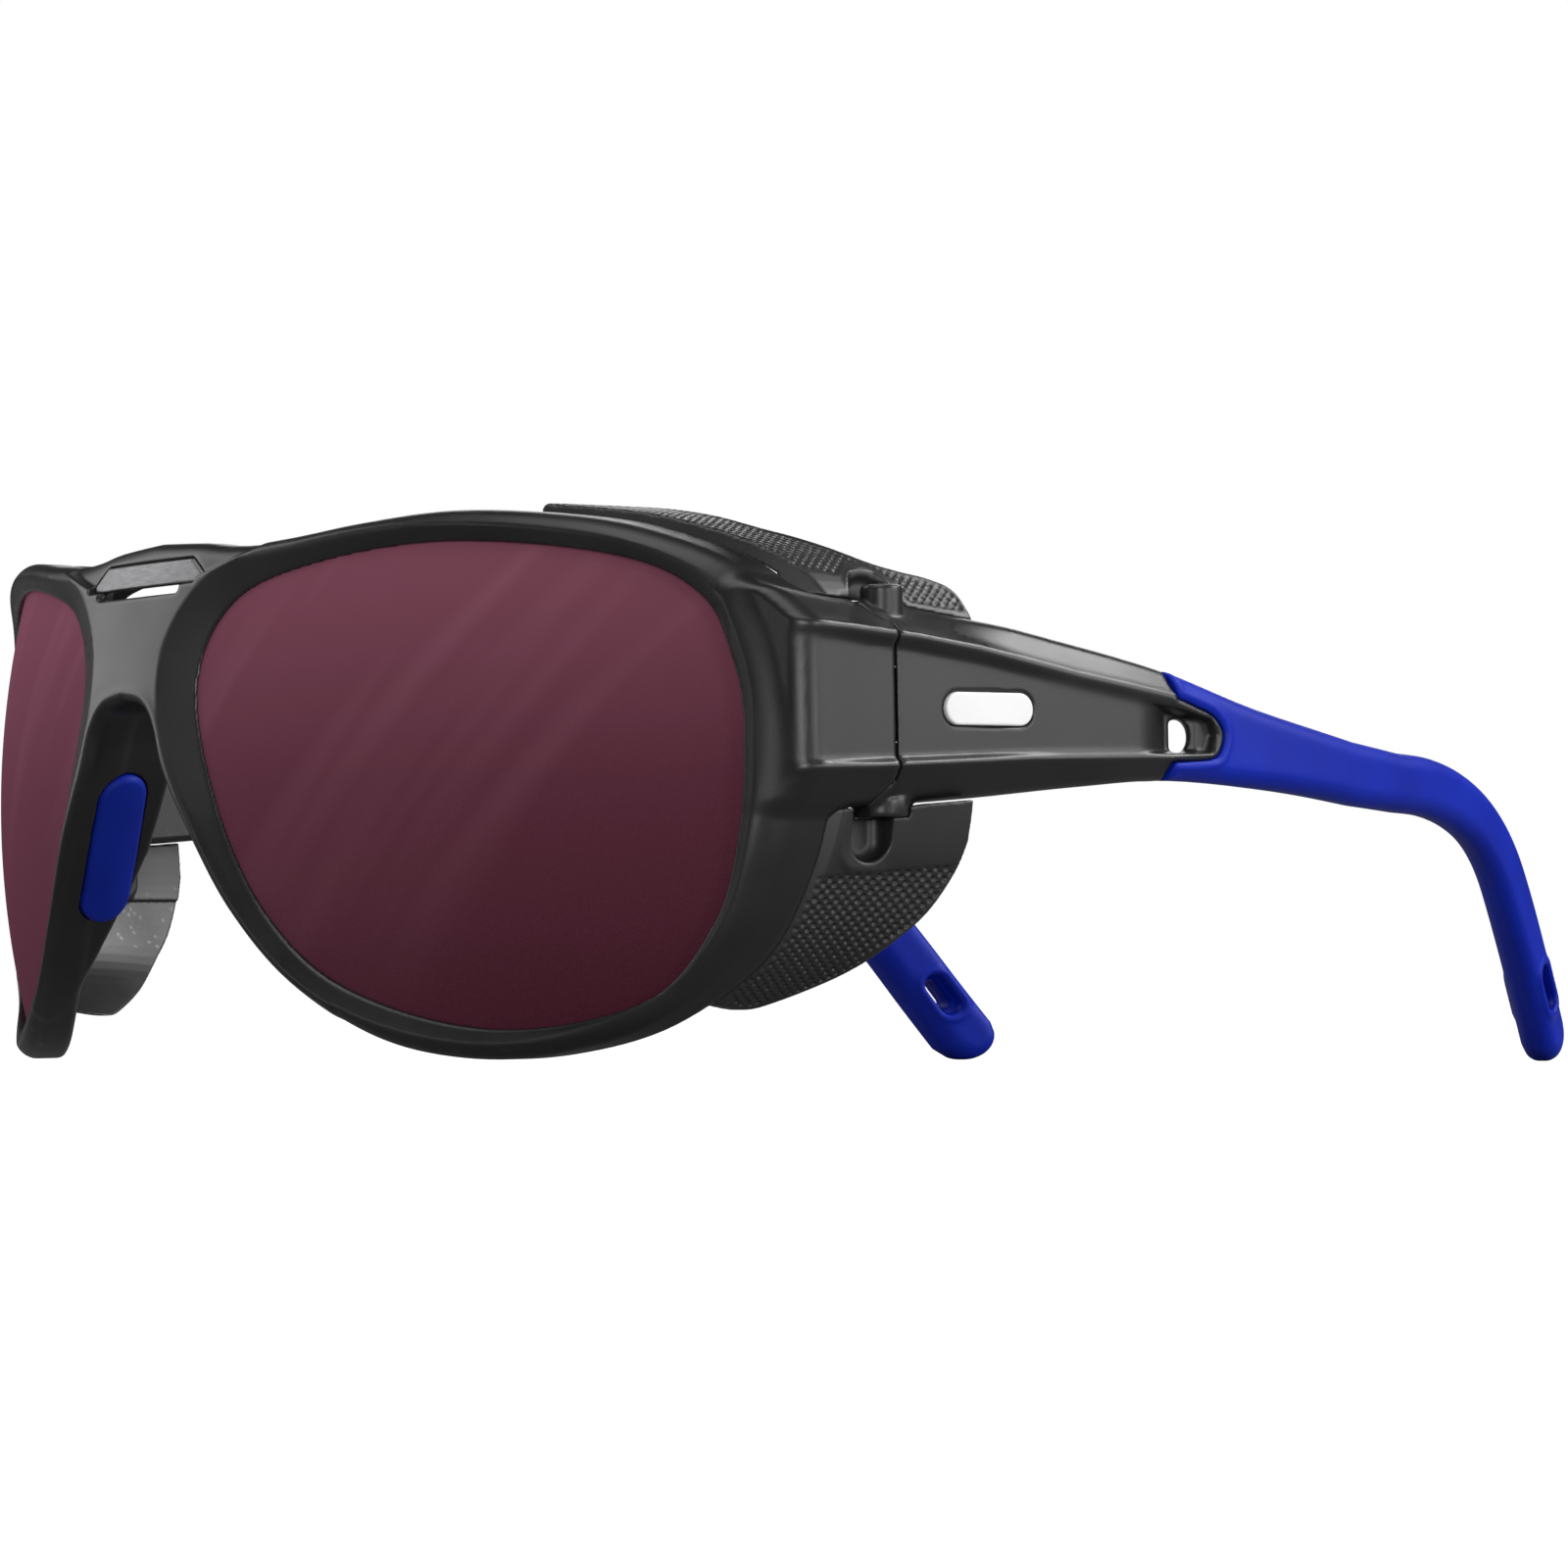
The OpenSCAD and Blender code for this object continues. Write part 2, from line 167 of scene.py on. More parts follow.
def surface_net(field):
    """Quads on the zero level of a grid of distances, with vertices as grid positions."""
    solid = field < 0
    shape = np.array(field.shape) - 1
    corners = [(i, j, k) for i in (0, 1) for j in (0, 1) for k in (0, 1)]
    count = np.zeros(shape, np.uint8)
    for i, j, k in corners:
        count += solid[i:i + shape[0], j:j + shape[1], k:k + shape[2]]
    cells = np.argwhere((count > 0) & (count < 8))
    number = np.full(shape, -1, np.int32)
    number[tuple(cells.T)] = np.arange(len(cells))
    value = {c: field[tuple((cells + c).T)].astype(float) for c in corners}
    total = np.zeros((len(cells), 3))
    hits = np.zeros(len(cells))
    for c in corners:
        for a in range(3):
            if c[a]:
                continue
            other = tuple(c[b] + (b == a) for b in range(3))
            f, g = value[c], value[other]
            cut = (f < 0) != (g < 0)
            t = np.where(cut, f / np.where(cut, f - g, 1.0), 0.0)
            point = np.array(c, float)[None] + t[:, None] * np.eye(3)[a][None]
            total += point * cut[:, None]
            hits += cut
    spots = cells + total / hits[:, None]
    quads = []
    for a in range(3):
        b, c = (a + 1) % 3, (a + 2) % 3
        low, high = [slice(1, -1)] * 3, [slice(1, -1)] * 3
        low[a], high[a] = slice(0, -1), slice(1, None)
        first, second = solid[tuple(low)], solid[tuple(high)]
        edge = np.argwhere(first != second)
        outward = first[tuple(edge.T)]
        edge[:, b] += 1
        edge[:, c] += 1
        ring = []
        for db, dc in ((-1, -1), (0, -1), (0, 0), (-1, 0)):
            cell = edge.copy()
            cell[:, b] += db
            cell[:, c] += dc
            ring.append(number[tuple(cell.T)])
        ring = np.stack(ring, 1)
        quads.append(np.where(outward[:, None], ring, ring[:, ::-1]))
    return spots, np.concatenate(quads)


def net_piece(field, axes, place):
    """Vertices in millimetres and quads of the solid that a distance grid holds."""
    spots, quads = surface_net(field)
    at = [np.interp(spots[:, i], np.arange(len(axes[i])), axes[i]) for i in range(3)]
    verts = np.stack(place(*at), 1)
    p = verts[quads]
    volume = np.einsum("ij,ij->i", p[:, 0], np.cross(p[:, 1], p[:, 2])
                       + np.cross(p[:, 2], p[:, 3])).sum()
    if volume < 0:
        quads = quads[:, ::-1]
    return verts, quads


def flipped(faces):
    """The faces turned over. A triangle is held as a quad that repeats its last corner."""
    three = (faces[:, 2] == faces[:, 3])[:, None]
    return np.where(three, faces[:, [0, 2, 1, 1]], faces[:, ::-1])


def mirrored(piece):
    verts, faces = piece
    return verts * [-1, 1, 1], flipped(faces)


def to_row(verts):
    return (verts + [0, -MIDDLE_Y, FLOOR_Z]) * 0.001


def make(name, piece, material, body, nodes, sharp=None):
    verts, faces = piece
    mesh = bpy.data.meshes.new(name)
    mesh.vertices.add(len(verts))
    mesh.vertices.foreach_set("co", to_row(verts).astype(np.float32).ravel())
    three = faces[:, 2] == faces[:, 3]
    sizes = np.where(three, 3, 4)
    keep = np.ones(faces.shape, bool)
    keep[three, -1] = False
    loops = faces[keep]
    starts = np.concatenate([[0], np.cumsum(sizes)[:-1]])
    mesh.loops.add(len(loops))
    mesh.loops.foreach_set("vertex_index", loops.astype(np.int32))
    mesh.polygons.add(len(faces))
    mesh.polygons.foreach_set("loop_start", starts.astype(np.int32))
    mesh.polygons.foreach_set("use_smooth", np.ones(len(faces), bool))
    mesh.update(calc_edges=True)
    mesh.validate()
    if sharp:
        mesh.set_sharp_from_angle(angle=math.radians(sharp))
    mesh.materials.append(material)
    obj = bpy.data.objects.new(name, mesh)
    bpy.context.scene.collection.objects.link(obj)
    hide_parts(*nodes)
    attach(obj, body)
    return obj


# ---- Materials ----

# Depths of the bump in metres. The lens colours are linear, from its bottom to its top.
GRAIN_DEPTH = 0.00005
MARK_DEPTH = 0.00003
LENS_BOTTOM = (0.027, 0.0037, 0.0080)
LENS_MIDDLE = (0.062, 0.0165, 0.0270)
LENS_TOP = (0.145, 0.047, 0.070)
# painted reflection: lighter slanting streaks laid into the lens colour, stronger towards the top
LENS_REFLECTION_STREAK = (0.42, 0.20, 0.26)
LENS_DUST = (0.16, 0.06, 0.085)
# painted reflection: the lighter colour the lens takes where it is seen at a glancing angle
LENS_GRAZING_REFLECTION = (0.30, 0.11, 0.17)
REFLECTION_SLANT = -38


def new_material(name):
    mat = bpy.data.materials.new(name)
    mat.use_nodes = True
    nodes = mat.node_tree.nodes
    shader = nodes["Principled BSDF"]
    place = nodes.new("ShaderNodeTexCoord")
    return mat, nodes, mat.node_tree.links, shader, place


def noise_node(nodes, links, place, scale, detail=3.0, rough=0.5):
    node = nodes.new("ShaderNodeTexNoise")
    node.inputs["Scale"].default_value = scale
    node.inputs["Detail"].default_value = detail
    node.inputs["Roughness"].default_value = rough
    links.new(place.outputs["Object"], node.inputs["Vector"])
    return node


def range_node(nodes, links, source, from_low, from_high, to_low, to_high):
    node = nodes.new("ShaderNodeMapRange")
    node.inputs["From Min"].default_value = from_low
    node.inputs["From Max"].default_value = from_high
    node.inputs["To Min"].default_value = to_low
    node.inputs["To Max"].default_value = to_high
    links.new(source, node.inputs["Value"])
    return node.outputs["Result"]


def math_node(nodes, links, kind, a, b):
    node = nodes.new("ShaderNodeMath")
    node.operation = kind
    for i, v in enumerate((a, b)):
        if isinstance(v, (int, float)):
            node.inputs[i].default_value = v
        else:
            links.new(v, node.inputs[i])
    return node.outputs[0]


def mix_color(nodes, links, share, a, b):
    node = nodes.new("ShaderNodeMix")
    node.data_type = "RGBA"
    links.new(share, node.inputs["Factor"])
    for key, v in (("A", a), ("B", b)):
        socket = [s for s in node.inputs if s.name == key and s.type == "RGBA"][0]
        if isinstance(v, tuple):
            socket.default_value = (*v, 1.0)
        else:
            links.new(v, socket)
    return [s for s in node.outputs if s.type == "RGBA"][0]


def moulded(name, dark, light, roughness, grain, grain_bump, worn=0.0, specular=0.5,
            speckle=0.0):
    """A moulded plastic or rubber: fine grain, uneven gloss and lighter, smoother worn ridges."""
    mat, nodes, links, shader, place = new_material(name)
    broad = noise_node(nodes, links, place, 90.0, 4.0)
    fine = noise_node(nodes, links, place, grain, 2.0, 0.6)
    geometry = nodes.new("ShaderNodeNewGeometry")
    ridge = range_node(nodes, links, geometry.outputs["Pointiness"], 0.505, 0.56, 0.0, 1.0)
    tone = range_node(nodes, links, broad.outputs["Fac"], 0.35, 0.65, 0.0, 1.0)
    color = mix_color(nodes, links, tone, dark, light)
    if speckle:
        dots = range_node(nodes, links, fine.outputs["Fac"], 0.40, 0.64, 0.0, speckle)
        color = mix_color(nodes, links, dots, color, tuple(min(3.2 * c + 0.01, 1) for c in light))
    if worn:
        rub = math_node(nodes, links, "MULTIPLY", ridge, worn)
        color = mix_color(nodes, links, rub, color, tuple(min(2.4 * c, 1) for c in light))
    links.new(color, shader.inputs["Base Color"])
    rough = range_node(nodes, links, broad.outputs["Fac"], 0.3, 0.7,
                       roughness - 0.04, roughness + 0.05)
    if worn:
        rough = math_node(nodes, links, "SUBTRACT", rough,
                          math_node(nodes, links, "MULTIPLY", ridge, 0.10))
    links.new(rough, shader.inputs["Roughness"])
    shader.inputs["Specular IOR Level"].default_value = specular
    bump_node = nodes.new("ShaderNodeBump")
    bump_node.inputs["Strength"].default_value = grain_bump
    bump_node.inputs["Distance"].default_value = GRAIN_DEPTH
    links.new(fine.outputs["Fac"], bump_node.inputs["Height"])
    links.new(bump_node.outputs["Normal"], shader.inputs["Normal"])
    return mat


def metal(name, color, roughness, stretch):
    """A metal with fine directional machining marks and a slightly uneven tone."""
    mat, nodes, links, shader, place = new_material(name)
    mapping = nodes.new("ShaderNodeMapping")
    mapping.inputs["Scale"].default_value = stretch
    links.new(place.outputs["Object"], mapping.inputs["Vector"])
    marks = nodes.new("ShaderNodeTexNoise")
    marks.inputs["Scale"].default_value = 1.0
    marks.inputs["Detail"].default_value = 4.0
    links.new(mapping.outputs["Vector"], marks.inputs["Vector"])
    broad = noise_node(nodes, links, place, 260.0, 3.0)
    tone = range_node(nodes, links, broad.outputs["Fac"], 0.3, 0.7, 0.0, 1.0)
    links.new(mix_color(nodes, links, tone, tuple(c * 0.86 for c in color), color),
              shader.inputs["Base Color"])
    shader.inputs["Metallic"].default_value = 1.0
    rough = range_node(nodes, links, marks.outputs["Fac"], 0.3, 0.7,
                       roughness - 0.07, roughness + 0.09)
    links.new(rough, shader.inputs["Roughness"])
    bump_node = nodes.new("ShaderNodeBump")
    bump_node.inputs["Strength"].default_value = 0.25
    bump_node.inputs["Distance"].default_value = MARK_DEPTH
    links.new(marks.outputs["Fac"], bump_node.inputs["Height"])
    links.new(bump_node.outputs["Normal"], shader.inputs["Normal"])
    return mat


def lens_material():
    """Rose mirror tint that darkens towards the bottom, with faint slanting streaks of painted
    reflection, a painted reflection at glancing angles and a painted glow.
    """
    mat, nodes, links, shader, place = new_material("lens_rose_mirror")
    split = nodes.new("ShaderNodeSeparateXYZ")
    links.new(place.outputs["Object"], split.inputs["Vector"])
    low, high = 0.001 * (FLOOR_Z - 24), 0.001 * (FLOOR_Z + 25)
    height = range_node(nodes, links, split.outputs["Z"], low, high, 0.0, 1.0)
    ramp = nodes.new("ShaderNodeValToRGB")
    ramp.color_ramp.elements[0].color = (*LENS_BOTTOM, 1)
    ramp.color_ramp.elements[1].color = (*LENS_TOP, 1)
    middle = ramp.color_ramp.elements.new(0.5)
    middle.color = (*LENS_MIDDLE, 1)
    links.new(height, ramp.inputs["Fac"])
    turned = nodes.new("ShaderNodeMapping")
    turned.inputs["Rotation"].default_value = (0, math.radians(REFLECTION_SLANT), 0)
    links.new(place.outputs["Object"], turned.inputs["Vector"])
    mapping = nodes.new("ShaderNodeMapping")
    mapping.inputs["Scale"].default_value = (150, 8, 12)
    links.new(turned.outputs["Vector"], mapping.inputs["Vector"])
    # painted reflection: slanting streaks of lighter colour, stronger towards the top of the lens
    reflection_streak = nodes.new("ShaderNodeTexNoise")
    reflection_streak.inputs["Scale"].default_value = 1.0
    reflection_streak.inputs["Detail"].default_value = 2.0
    links.new(mapping.outputs["Vector"], reflection_streak.inputs["Vector"])
    share = range_node(nodes, links, reflection_streak.outputs["Fac"], 0.50, 0.75, 0.0, 0.13)
    share = math_node(nodes, links, "MULTIPLY", share, height)
    color = mix_color(nodes, links, share, ramp.outputs["Color"], LENS_REFLECTION_STREAK)
    dust = noise_node(nodes, links, place, 9000.0, 2.0, 0.6)
    tone = range_node(nodes, links, dust.outputs["Fac"], 0.35, 0.65, 0.0, 0.12)
    color = mix_color(nodes, links, tone, color, LENS_DUST)
    # painted reflection: the lens colour lightens where it is seen at a glancing angle
    edge_on = nodes.new("ShaderNodeLayerWeight")
    edge_on.inputs["Blend"].default_value = 0.5
    grazing_reflection = math_node(nodes, links, "MULTIPLY", edge_on.outputs["Facing"], 0.23)
    color = mix_color(nodes, links, grazing_reflection, color, LENS_GRAZING_REFLECTION)
    links.new(color, shader.inputs["Base Color"])
    rough = range_node(nodes, links, dust.outputs["Fac"], 0.3, 0.7, 0.08, 0.13)
    links.new(rough, shader.inputs["Roughness"])
    shader.inputs["Specular IOR Level"].default_value = 0.0
    # painted glow: the lens gives off its own colour as light, so it shows lighter than the lamps
    # alone make it
    links.new(color, shader.inputs["Emission Color"])
    shader.inputs["Emission Strength"].default_value = 0.42
    return mat


NYLON = moulded("front_nylon", (0.007, 0.007, 0.008), (0.011, 0.011, 0.012), 0.36, 9000.0, 0.22,
                worn=0.4)
ARM_NYLON = moulded("arm_nylon", (0.008, 0.008, 0.009), (0.012, 0.012, 0.013), 0.34, 9000.0, 0.22,
                    worn=0.4)
SHIELD = moulded("shield_soft_black", (0.010, 0.010, 0.011), (0.015, 0.015, 0.016), 0.42, 7000.0,
                 0.18, worn=0.5)
BLUE = moulded("sleeve_blue_rubber", (0.0005, 0.011, 0.28), (0.0008, 0.016, 0.36), 0.48, 8000.0, 0.30,
               specular=0.20, speckle=0.04)
PAD = moulded("pad_blue_rubber", (0.0010, 0.014, 0.27), (0.0018, 0.020, 0.34), 0.55, 8000.0, 0.30,
              specular=0.20, speckle=0.04)
WHITE = moulded("inlay_white_plastic", (0.78, 0.78, 0.78), (0.83, 0.83, 0.83), 0.34, 6000.0, 0.08)
BADGE = metal("badge_satin_metal", (0.18, 0.18, 0.185), 0.42, (600, 9000, 9000))
STEEL = metal("screw_steel", (0.58, 0.58, 0.60), 0.28, (2500, 2500, 2500))
WIRE = metal("wire_steel", (0.60, 0.60, 0.62), 0.36, (4000, 300, 4000))
BRASS = metal("insert_brass", (0.72, 0.50, 0.20), 0.30, (3000, 3000, 3000))
LENS = lens_material()


# ---- Outlines ----

OPENING = closed_curve([
    (40, 23.9), (55.7, 21.9), (63.8, 17.7), (67.5, 10.1), (68.3, 2.6), (67.7, -4.8), (65.2, -13.4),
    (58.5, -20.9), (44.5, -23.3), (29.4, -19.1), (20.5, -11.6), (14.4, -0.3), (11.0, 11.6), (15, 19.2),
    (25.1, 22.5)])
HALF_OUTLINE = open_curve([
    (0, 26.25), (8, 25.8), (12, 25.3), (16.5, 25.1), (23, 25.5), (31, 26.4), (40, 27), (49, 26.3),
    (57.5, 24.5), (65.5, 20.5), (69.7, 14.3), (71.5, 6), (71.3, -1), (69.6, -8.9), (65.5, -17.1),
    (57.7, -23.3),
    (49, -25.9), (40.5, -26.1), (32, -24.0), (23.3, -18.6), (16.7, -11.6), (11.8, -4.4), (7.3, 2.5),
    (5.4, 7.0), (3.4, 9.2), (0, 9.9)])
OUTLINE = np.concatenate([HALF_OUTLINE[:-1], HALF_OUTLINE[:0:-1] * [-1, 1]])

EAR_LINE = open_curve([
    (113, 0.3), (118.5, 0), (124, -1), (129, -2.7), (133, -5), (136.3, -7.9), (139.2, -11.6),
    (142.7, -16.6), (146, -21.6), (149.3, -26.5)], 4)
TIP = np.array([149.3, -26.5])
TIP_W = 6.0
ARM_TOP = open_curve([
    (36, 17.4), (50.6, 15.6), (64.3, 13.15), (75, 10.9), (88.3, 7.4), (104.5, 4.4)], 5)
ARM_BOTTOM = open_curve([
    (104.5, -2.2), (91.8, -0.9), (76, 0), (63.9, -0.7), (50.2, -1.9), (36, -2.85)], 5)
TIP_ARC = [TIP + TIP_W / 2 * np.array([math.cos(math.radians(a)), math.sin(math.radians(a))])
           for a in range(10, -111, -8)]
ARM_SIDE = np.concatenate([ARM_TOP, beside(EAR_LINE, TIP_W / 2 + 0.1), TIP_ARC,
                           beside(EAR_LINE, -TIP_W / 2 - 0.1)[::-1], ARM_BOTTOM])
TONGUE = open_curve([
    (75.9, 8.2), (78.6, 7.4), (81, 6.5), (82.4, 4.8), (81.8, 2.8), (80.2, 2.0), (75.3, 1.7)], 5)
HARD_SIDE = np.concatenate([
    [(20, 30), (75.2, 30), (75, 10.9)], TONGUE, [(74.8, 0), (74.8, -9), (20, -9)]])


# ---- Arm profile shared by the end piece and the arm ----

def upper_ridge(y):
    return np.interp(y, [28, 34, 42.8, 50.1, 62.5, 74.1, 84], [14.6, 14.2, 13.4, 12.4, 10.1, 8.3, 6.8])


def lower_ridge(y):
    return np.interp(y, [28, 38, 45, 56, 74, 84], [0.9, 1.15, 1.45, 1.95, 2.3, 2.4])


def face_depth(y, z):
    """How far the outer face of the end piece and arm lies inside its highest line."""
    above = z - upper_ridge(y)
    below = lower_ridge(y) - z
    depth = 0.34 - 0.32 * bump(above, 0.75) - 0.26 * bump(below, 0.5)
    window = step(-below, 0.15, 0.8) * step(-above, 0.2, 1.3)
    depth = depth + 0.40 * window * step(y, 29.5, 39) * (1 - step(y, 47, 62))
    up = np.maximum(above - 0.35, 0)
    down = np.maximum(below - 0.35, 0)
    shelf = 0.34 + 0.7 * (1 - step(y, 43, 57))
    return depth + shelf * up + 0.05 * up ** 2 + 0.42 * down + 0.07 * down ** 2


# ---- Front frame ----

BEVEL_ANGLE = [0, 5, 37, 90, 124, 142, 156, 166, 175, 188, 211, 272, 322, 360]
BEVEL_WIDTH = [1.2, 1.2, 1.6, 1.7, 2.5, 4.1, 5.0, 4.6, 3.9, 2.8, 2.1, 1.6, 1.3, 1.2]
BEVEL_DEPTH = [0.55, 0.55, 0.75, 1.3, 1.5, 1.5, 1.5, 1.5, 1.5, 1.5, 1.3, 0.9, 0.6, 0.55]


def sphere_y(x, z, r):
    return LENS_R - np.sqrt(np.maximum(r * r - x * x - z * z, 1))


def badge_area(x, z, d=0.0):
    plate = [(-9.8, 22.25), (-7.9, 23.7), (7.9, 23.7), (9.8, 22.25)]
    return area_distance(x, z, plate) - d


def pad_matrix():
    turn = Matrix.Rotation(math.radians(8), 3, "Z") @ Matrix.Rotation(math.pi, 3, "X")
    return np.array(Matrix.Rotation(math.radians(58), 3, "Y") @ turn)


PAD_PLACE = np.array([11.9, 4.9, -4.4])
PAD_TURN = pad_matrix()


def front_frame():
    xs, zs, rs = axis(0, 75, 0.25), axis(-27.2, 28, 0.25), axis(87.6, 104.4, 0.25)
    x2, z2 = np.meshgrid(xs, zs, indexing="ij")
    out2 = area_distance(x2, z2, OUTLINE)
    open2 = area_distance(x2, z2, OPENING)

    # height of the front surface: a crest with a bevel down to the lens, and a lower brow bar
    angle = np.degrees(np.arctan2(z2 - 0.5, x2 - 40)) % 360
    width = np.interp(angle, BEVEL_ANGLE, BEVEL_WIDTH)
    rise = np.clip(np.maximum(open2, 0) / width, 0, 1)
    front2 = CREST_R - np.interp(angle, BEVEL_ANGLE, BEVEL_DEPTH) * (1 - rise) ** 1.05
    brow_line = np.interp(x2, [0, 4.7, 9.5, 18, 21], [20.75, 20.8, 22.0, 24.5, 27.5])
    brow = step(z2 - brow_line, -0.15, 0.35)
    front2 = front2 + (BROW_R - CREST_R) * brow

    x, z, r = x2[:, :, None], z2[:, :, None], rs[None, None, :]
    y = sphere_y(x, z, r)
    out, opening, front = out2[:, :, None], open2[:, :, None], front2[:, :, None]

    rim = both(out, r - front, 1.7)
    rim = both(rim, BACK_R - r, 1.3)

    # walls beside the nose, standing behind the rim
    reach = np.interp(z2, [-26, -19, -14, -10, -4.5, 3.4, 8.5, 12.5, 14.5, 16.5],
                      [7.2, 7.9, 8.2, 8.7, 9.6, 9.2, 7.8, 6.0, 4.0, 0])[:, :, None]
    wall = both(out + 0.2, -out - 2.1, 0.5)
    wall = both(wall, y - reach, 0.8)
    wall = both(wall, x - 29.0, 1.0)
    wall = both(wall, r - front, 1.3)
    solid = either(rim, wall, 0.5)

    # end piece
    face = x - (ARM_MID_X + ARM_HALF_T - face_depth(y, z))
    fold = both(face, 0.93 * (28.9 - y) + 0.37 * (x - 74.2), 2.0)
    block = both(fold, 66.4 - x, 0.8)
    block = both(block, z - np.interp(y, [28, 34, 40.5], [18.6, 17.5, 16.9]), 0.9)
    block = both(block, -2.75 - z, 0.8)
    solid = either(solid, block, 1.6)
    solid = both(solid, y - SEAM_Y + 0.22, 0.15)
    hinge = np.hypot(x - HINGE_X, y - HINGE_Y)
    solid = both(solid, -both(hinge - KNUCKLE_SPACE_R, z - 3.5, 0.1), 0.15)
    solid = both(solid, -both(hinge - KNUCKLE_SPACE_R, 10.7 - z, 0.1), 0.15)
    root = both(np.abs(x - HINGE_X) - KNUCKLE_R, np.abs(y - 39) - 2)
    knuckle = both(np.minimum(hinge - KNUCKLE_R, root), np.abs(z - KNUCKLE_MID_Z) - 3.5, 0.25)
    solid = either(solid, knuckle, 0.3)
    solid = both(solid, SCREW_HOLE_R - hinge, 0.1)

    # lens opening with its groove, the slot under the brow bar and the badge's recess
    solid = both(solid, -opening, 0.3)
    groove = both(opening - 0.9, np.abs(r - LENS_R + LENS_T / 2) - LENS_T / 2 - 0.05)
    solid = both(solid, -groove, 0.05)
    behind = np.maximum(BROW_R - r, 0)
    slit_middle, slit_half = 21.2 + 0.16 * behind, 0.45 + 0.16 * behind
    slit = np.hypot(np.maximum(x - 7.3 - 1.6 * behind, 0), z - slit_middle) - slit_half
    solid = both(solid, -slit, 0.25)
    relief = both(slot(x2, z2 - 22, 25, 4.4)[:, :, None], r - 97.6)
    solid = both(solid, -relief, 0.4)
    recess = both(badge_area(x2, z2, 0.62)[:, :, None], BROW_R - 0.75 - r)
    solid = both(solid, -recess, 0.12)

    # recess for the nose pad
    local = np.stack(np.broadcast_arrays(x - PAD_PLACE[0], y - PAD_PLACE[1], z - PAD_PLACE[2]), -1)
    local = local @ PAD_TURN
    pocket = both(slot(local[..., 0], local[..., 1], 17.8, 5.8), -0.75 - local[..., 2])
    solid = both(solid, -both(pocket, 2 - x), 0.2)

    field = np.concatenate([solid[:0:-1], solid]).astype(np.float32)
    axes = [np.concatenate([-xs[:0:-1], xs]), zs, rs]
    return net_piece(field, axes, lambda a, b, c: (a, sphere_y(a, b, c), b))


def brow_badge():
    xs, zs, rs = axis(-11, 11, 0.12), axis(21.0, 25.2, 0.1), axis(BROW_R - 1, BROW_R + 0.6, 0.1)
    x2, z2 = np.meshgrid(xs, zs, indexing="ij")
    plate = badge_area(x2, z2, 0.55)[:, :, None]
    crown = 0.24 - 0.0012 * (x2 ** 2)[:, :, None]
    r = rs[None, None, :]
    solid = both(plate, r - BROW_R - crown, 0.3)
    solid = both(solid, BROW_R - 0.72 - r, 0.1)
    return net_piece(solid, [xs, zs, rs], lambda a, b, c: (a, sphere_y(a, b, c), b))


def lens():
    """A shell patch with exact sphere faces, bounded by the opening grown into its groove."""
    centre = np.array([40.0, 0.4])
    turns, rings = 240, 36
    angles = np.linspace(0, 2 * math.pi, turns, endpoint=False)
    edge = OPENING - centre
    edge_angle = np.unwrap(np.arctan2(edge[:, 1], edge[:, 0]))
    edge_r = np.hypot(edge[:, 0], edge[:, 1]) + 0.7
    order = np.argsort(edge_angle % (2 * math.pi))
    radius = np.interp(angles, (edge_angle % (2 * math.pi))[order], edge_r[order], period=2 * math.pi)
    share = np.linspace(0, 1, rings + 1)[1:]
    x = centre[0] + np.outer(share, radius * np.cos(angles)).ravel()
    z = centre[1] + np.outer(share, radius * np.sin(angles)).ravel()
    x, z = np.append(centre[0], x), np.append(centre[1], z)
    faces = []
    per_side = len(x)
    for side in (0, 1):
        base = side * per_side
        for j in range(turns):
            k = (j + 1) % turns
            rows = [(base, base + 1 + j, base + 1 + k, base + 1 + k)]
            for i in range(rings - 1):
                a = base + 1 + i * turns
                rows.append((a + j, a + turns + j, a + turns + k, a + k))
            faces.append(np.array(rows) if side else flipped(np.array(rows)))
    last = 1 + (rings - 1) * turns
    j = np.arange(turns)
    k = (j + 1) % turns
    faces.append(np.stack([last + j, last + k, per_side + last + k, per_side + last + j], 1))
    verts = np.concatenate([np.stack([x, sphere_y(x, z, r), z], 1) for r in (LENS_R, LENS_R - LENS_T)])
    faces = np.concatenate(faces)
    p = verts[faces]
    volume = np.einsum("ij,ij->i", p[:, 0], np.cross(p[:, 1], p[:, 2])).sum()
    return verts, faces if volume > 0 else flipped(faces)


def nose_pad():
    us, vs, ws = axis(-9.1, 9.1, 0.16), axis(-3, 3, 0.16), axis(-0.9, 1.3, 0.1)
    u, v, w = np.meshgrid(us, vs, ws, indexing="ij")
    rim = slot(u, v, 17.6, 5.6)
    crown = 0.95 - 0.06 * v * v - 0.003 * u * u
    solid = both(both(rim, w - crown, 0.7), -0.68 - w, 0.15)
    return net_piece(solid, [us, vs, ws],
                     lambda a, b, c: tuple((np.stack([a, b, c], 1) @ PAD_TURN.T + PAD_PLACE).T))


# ---- Arms ----

def arm_x(y, t):
    """x of a point t outside the arm's middle surface, which bows inward behind BOW_Y."""
    back = np.maximum(y - BOW_Y, 0)
    return ARM_MID_X - BOW_R + np.sqrt((BOW_R + t) ** 2 - back ** 2)


def arm_place(y, z, t):
    return arm_x(y, t), y, z


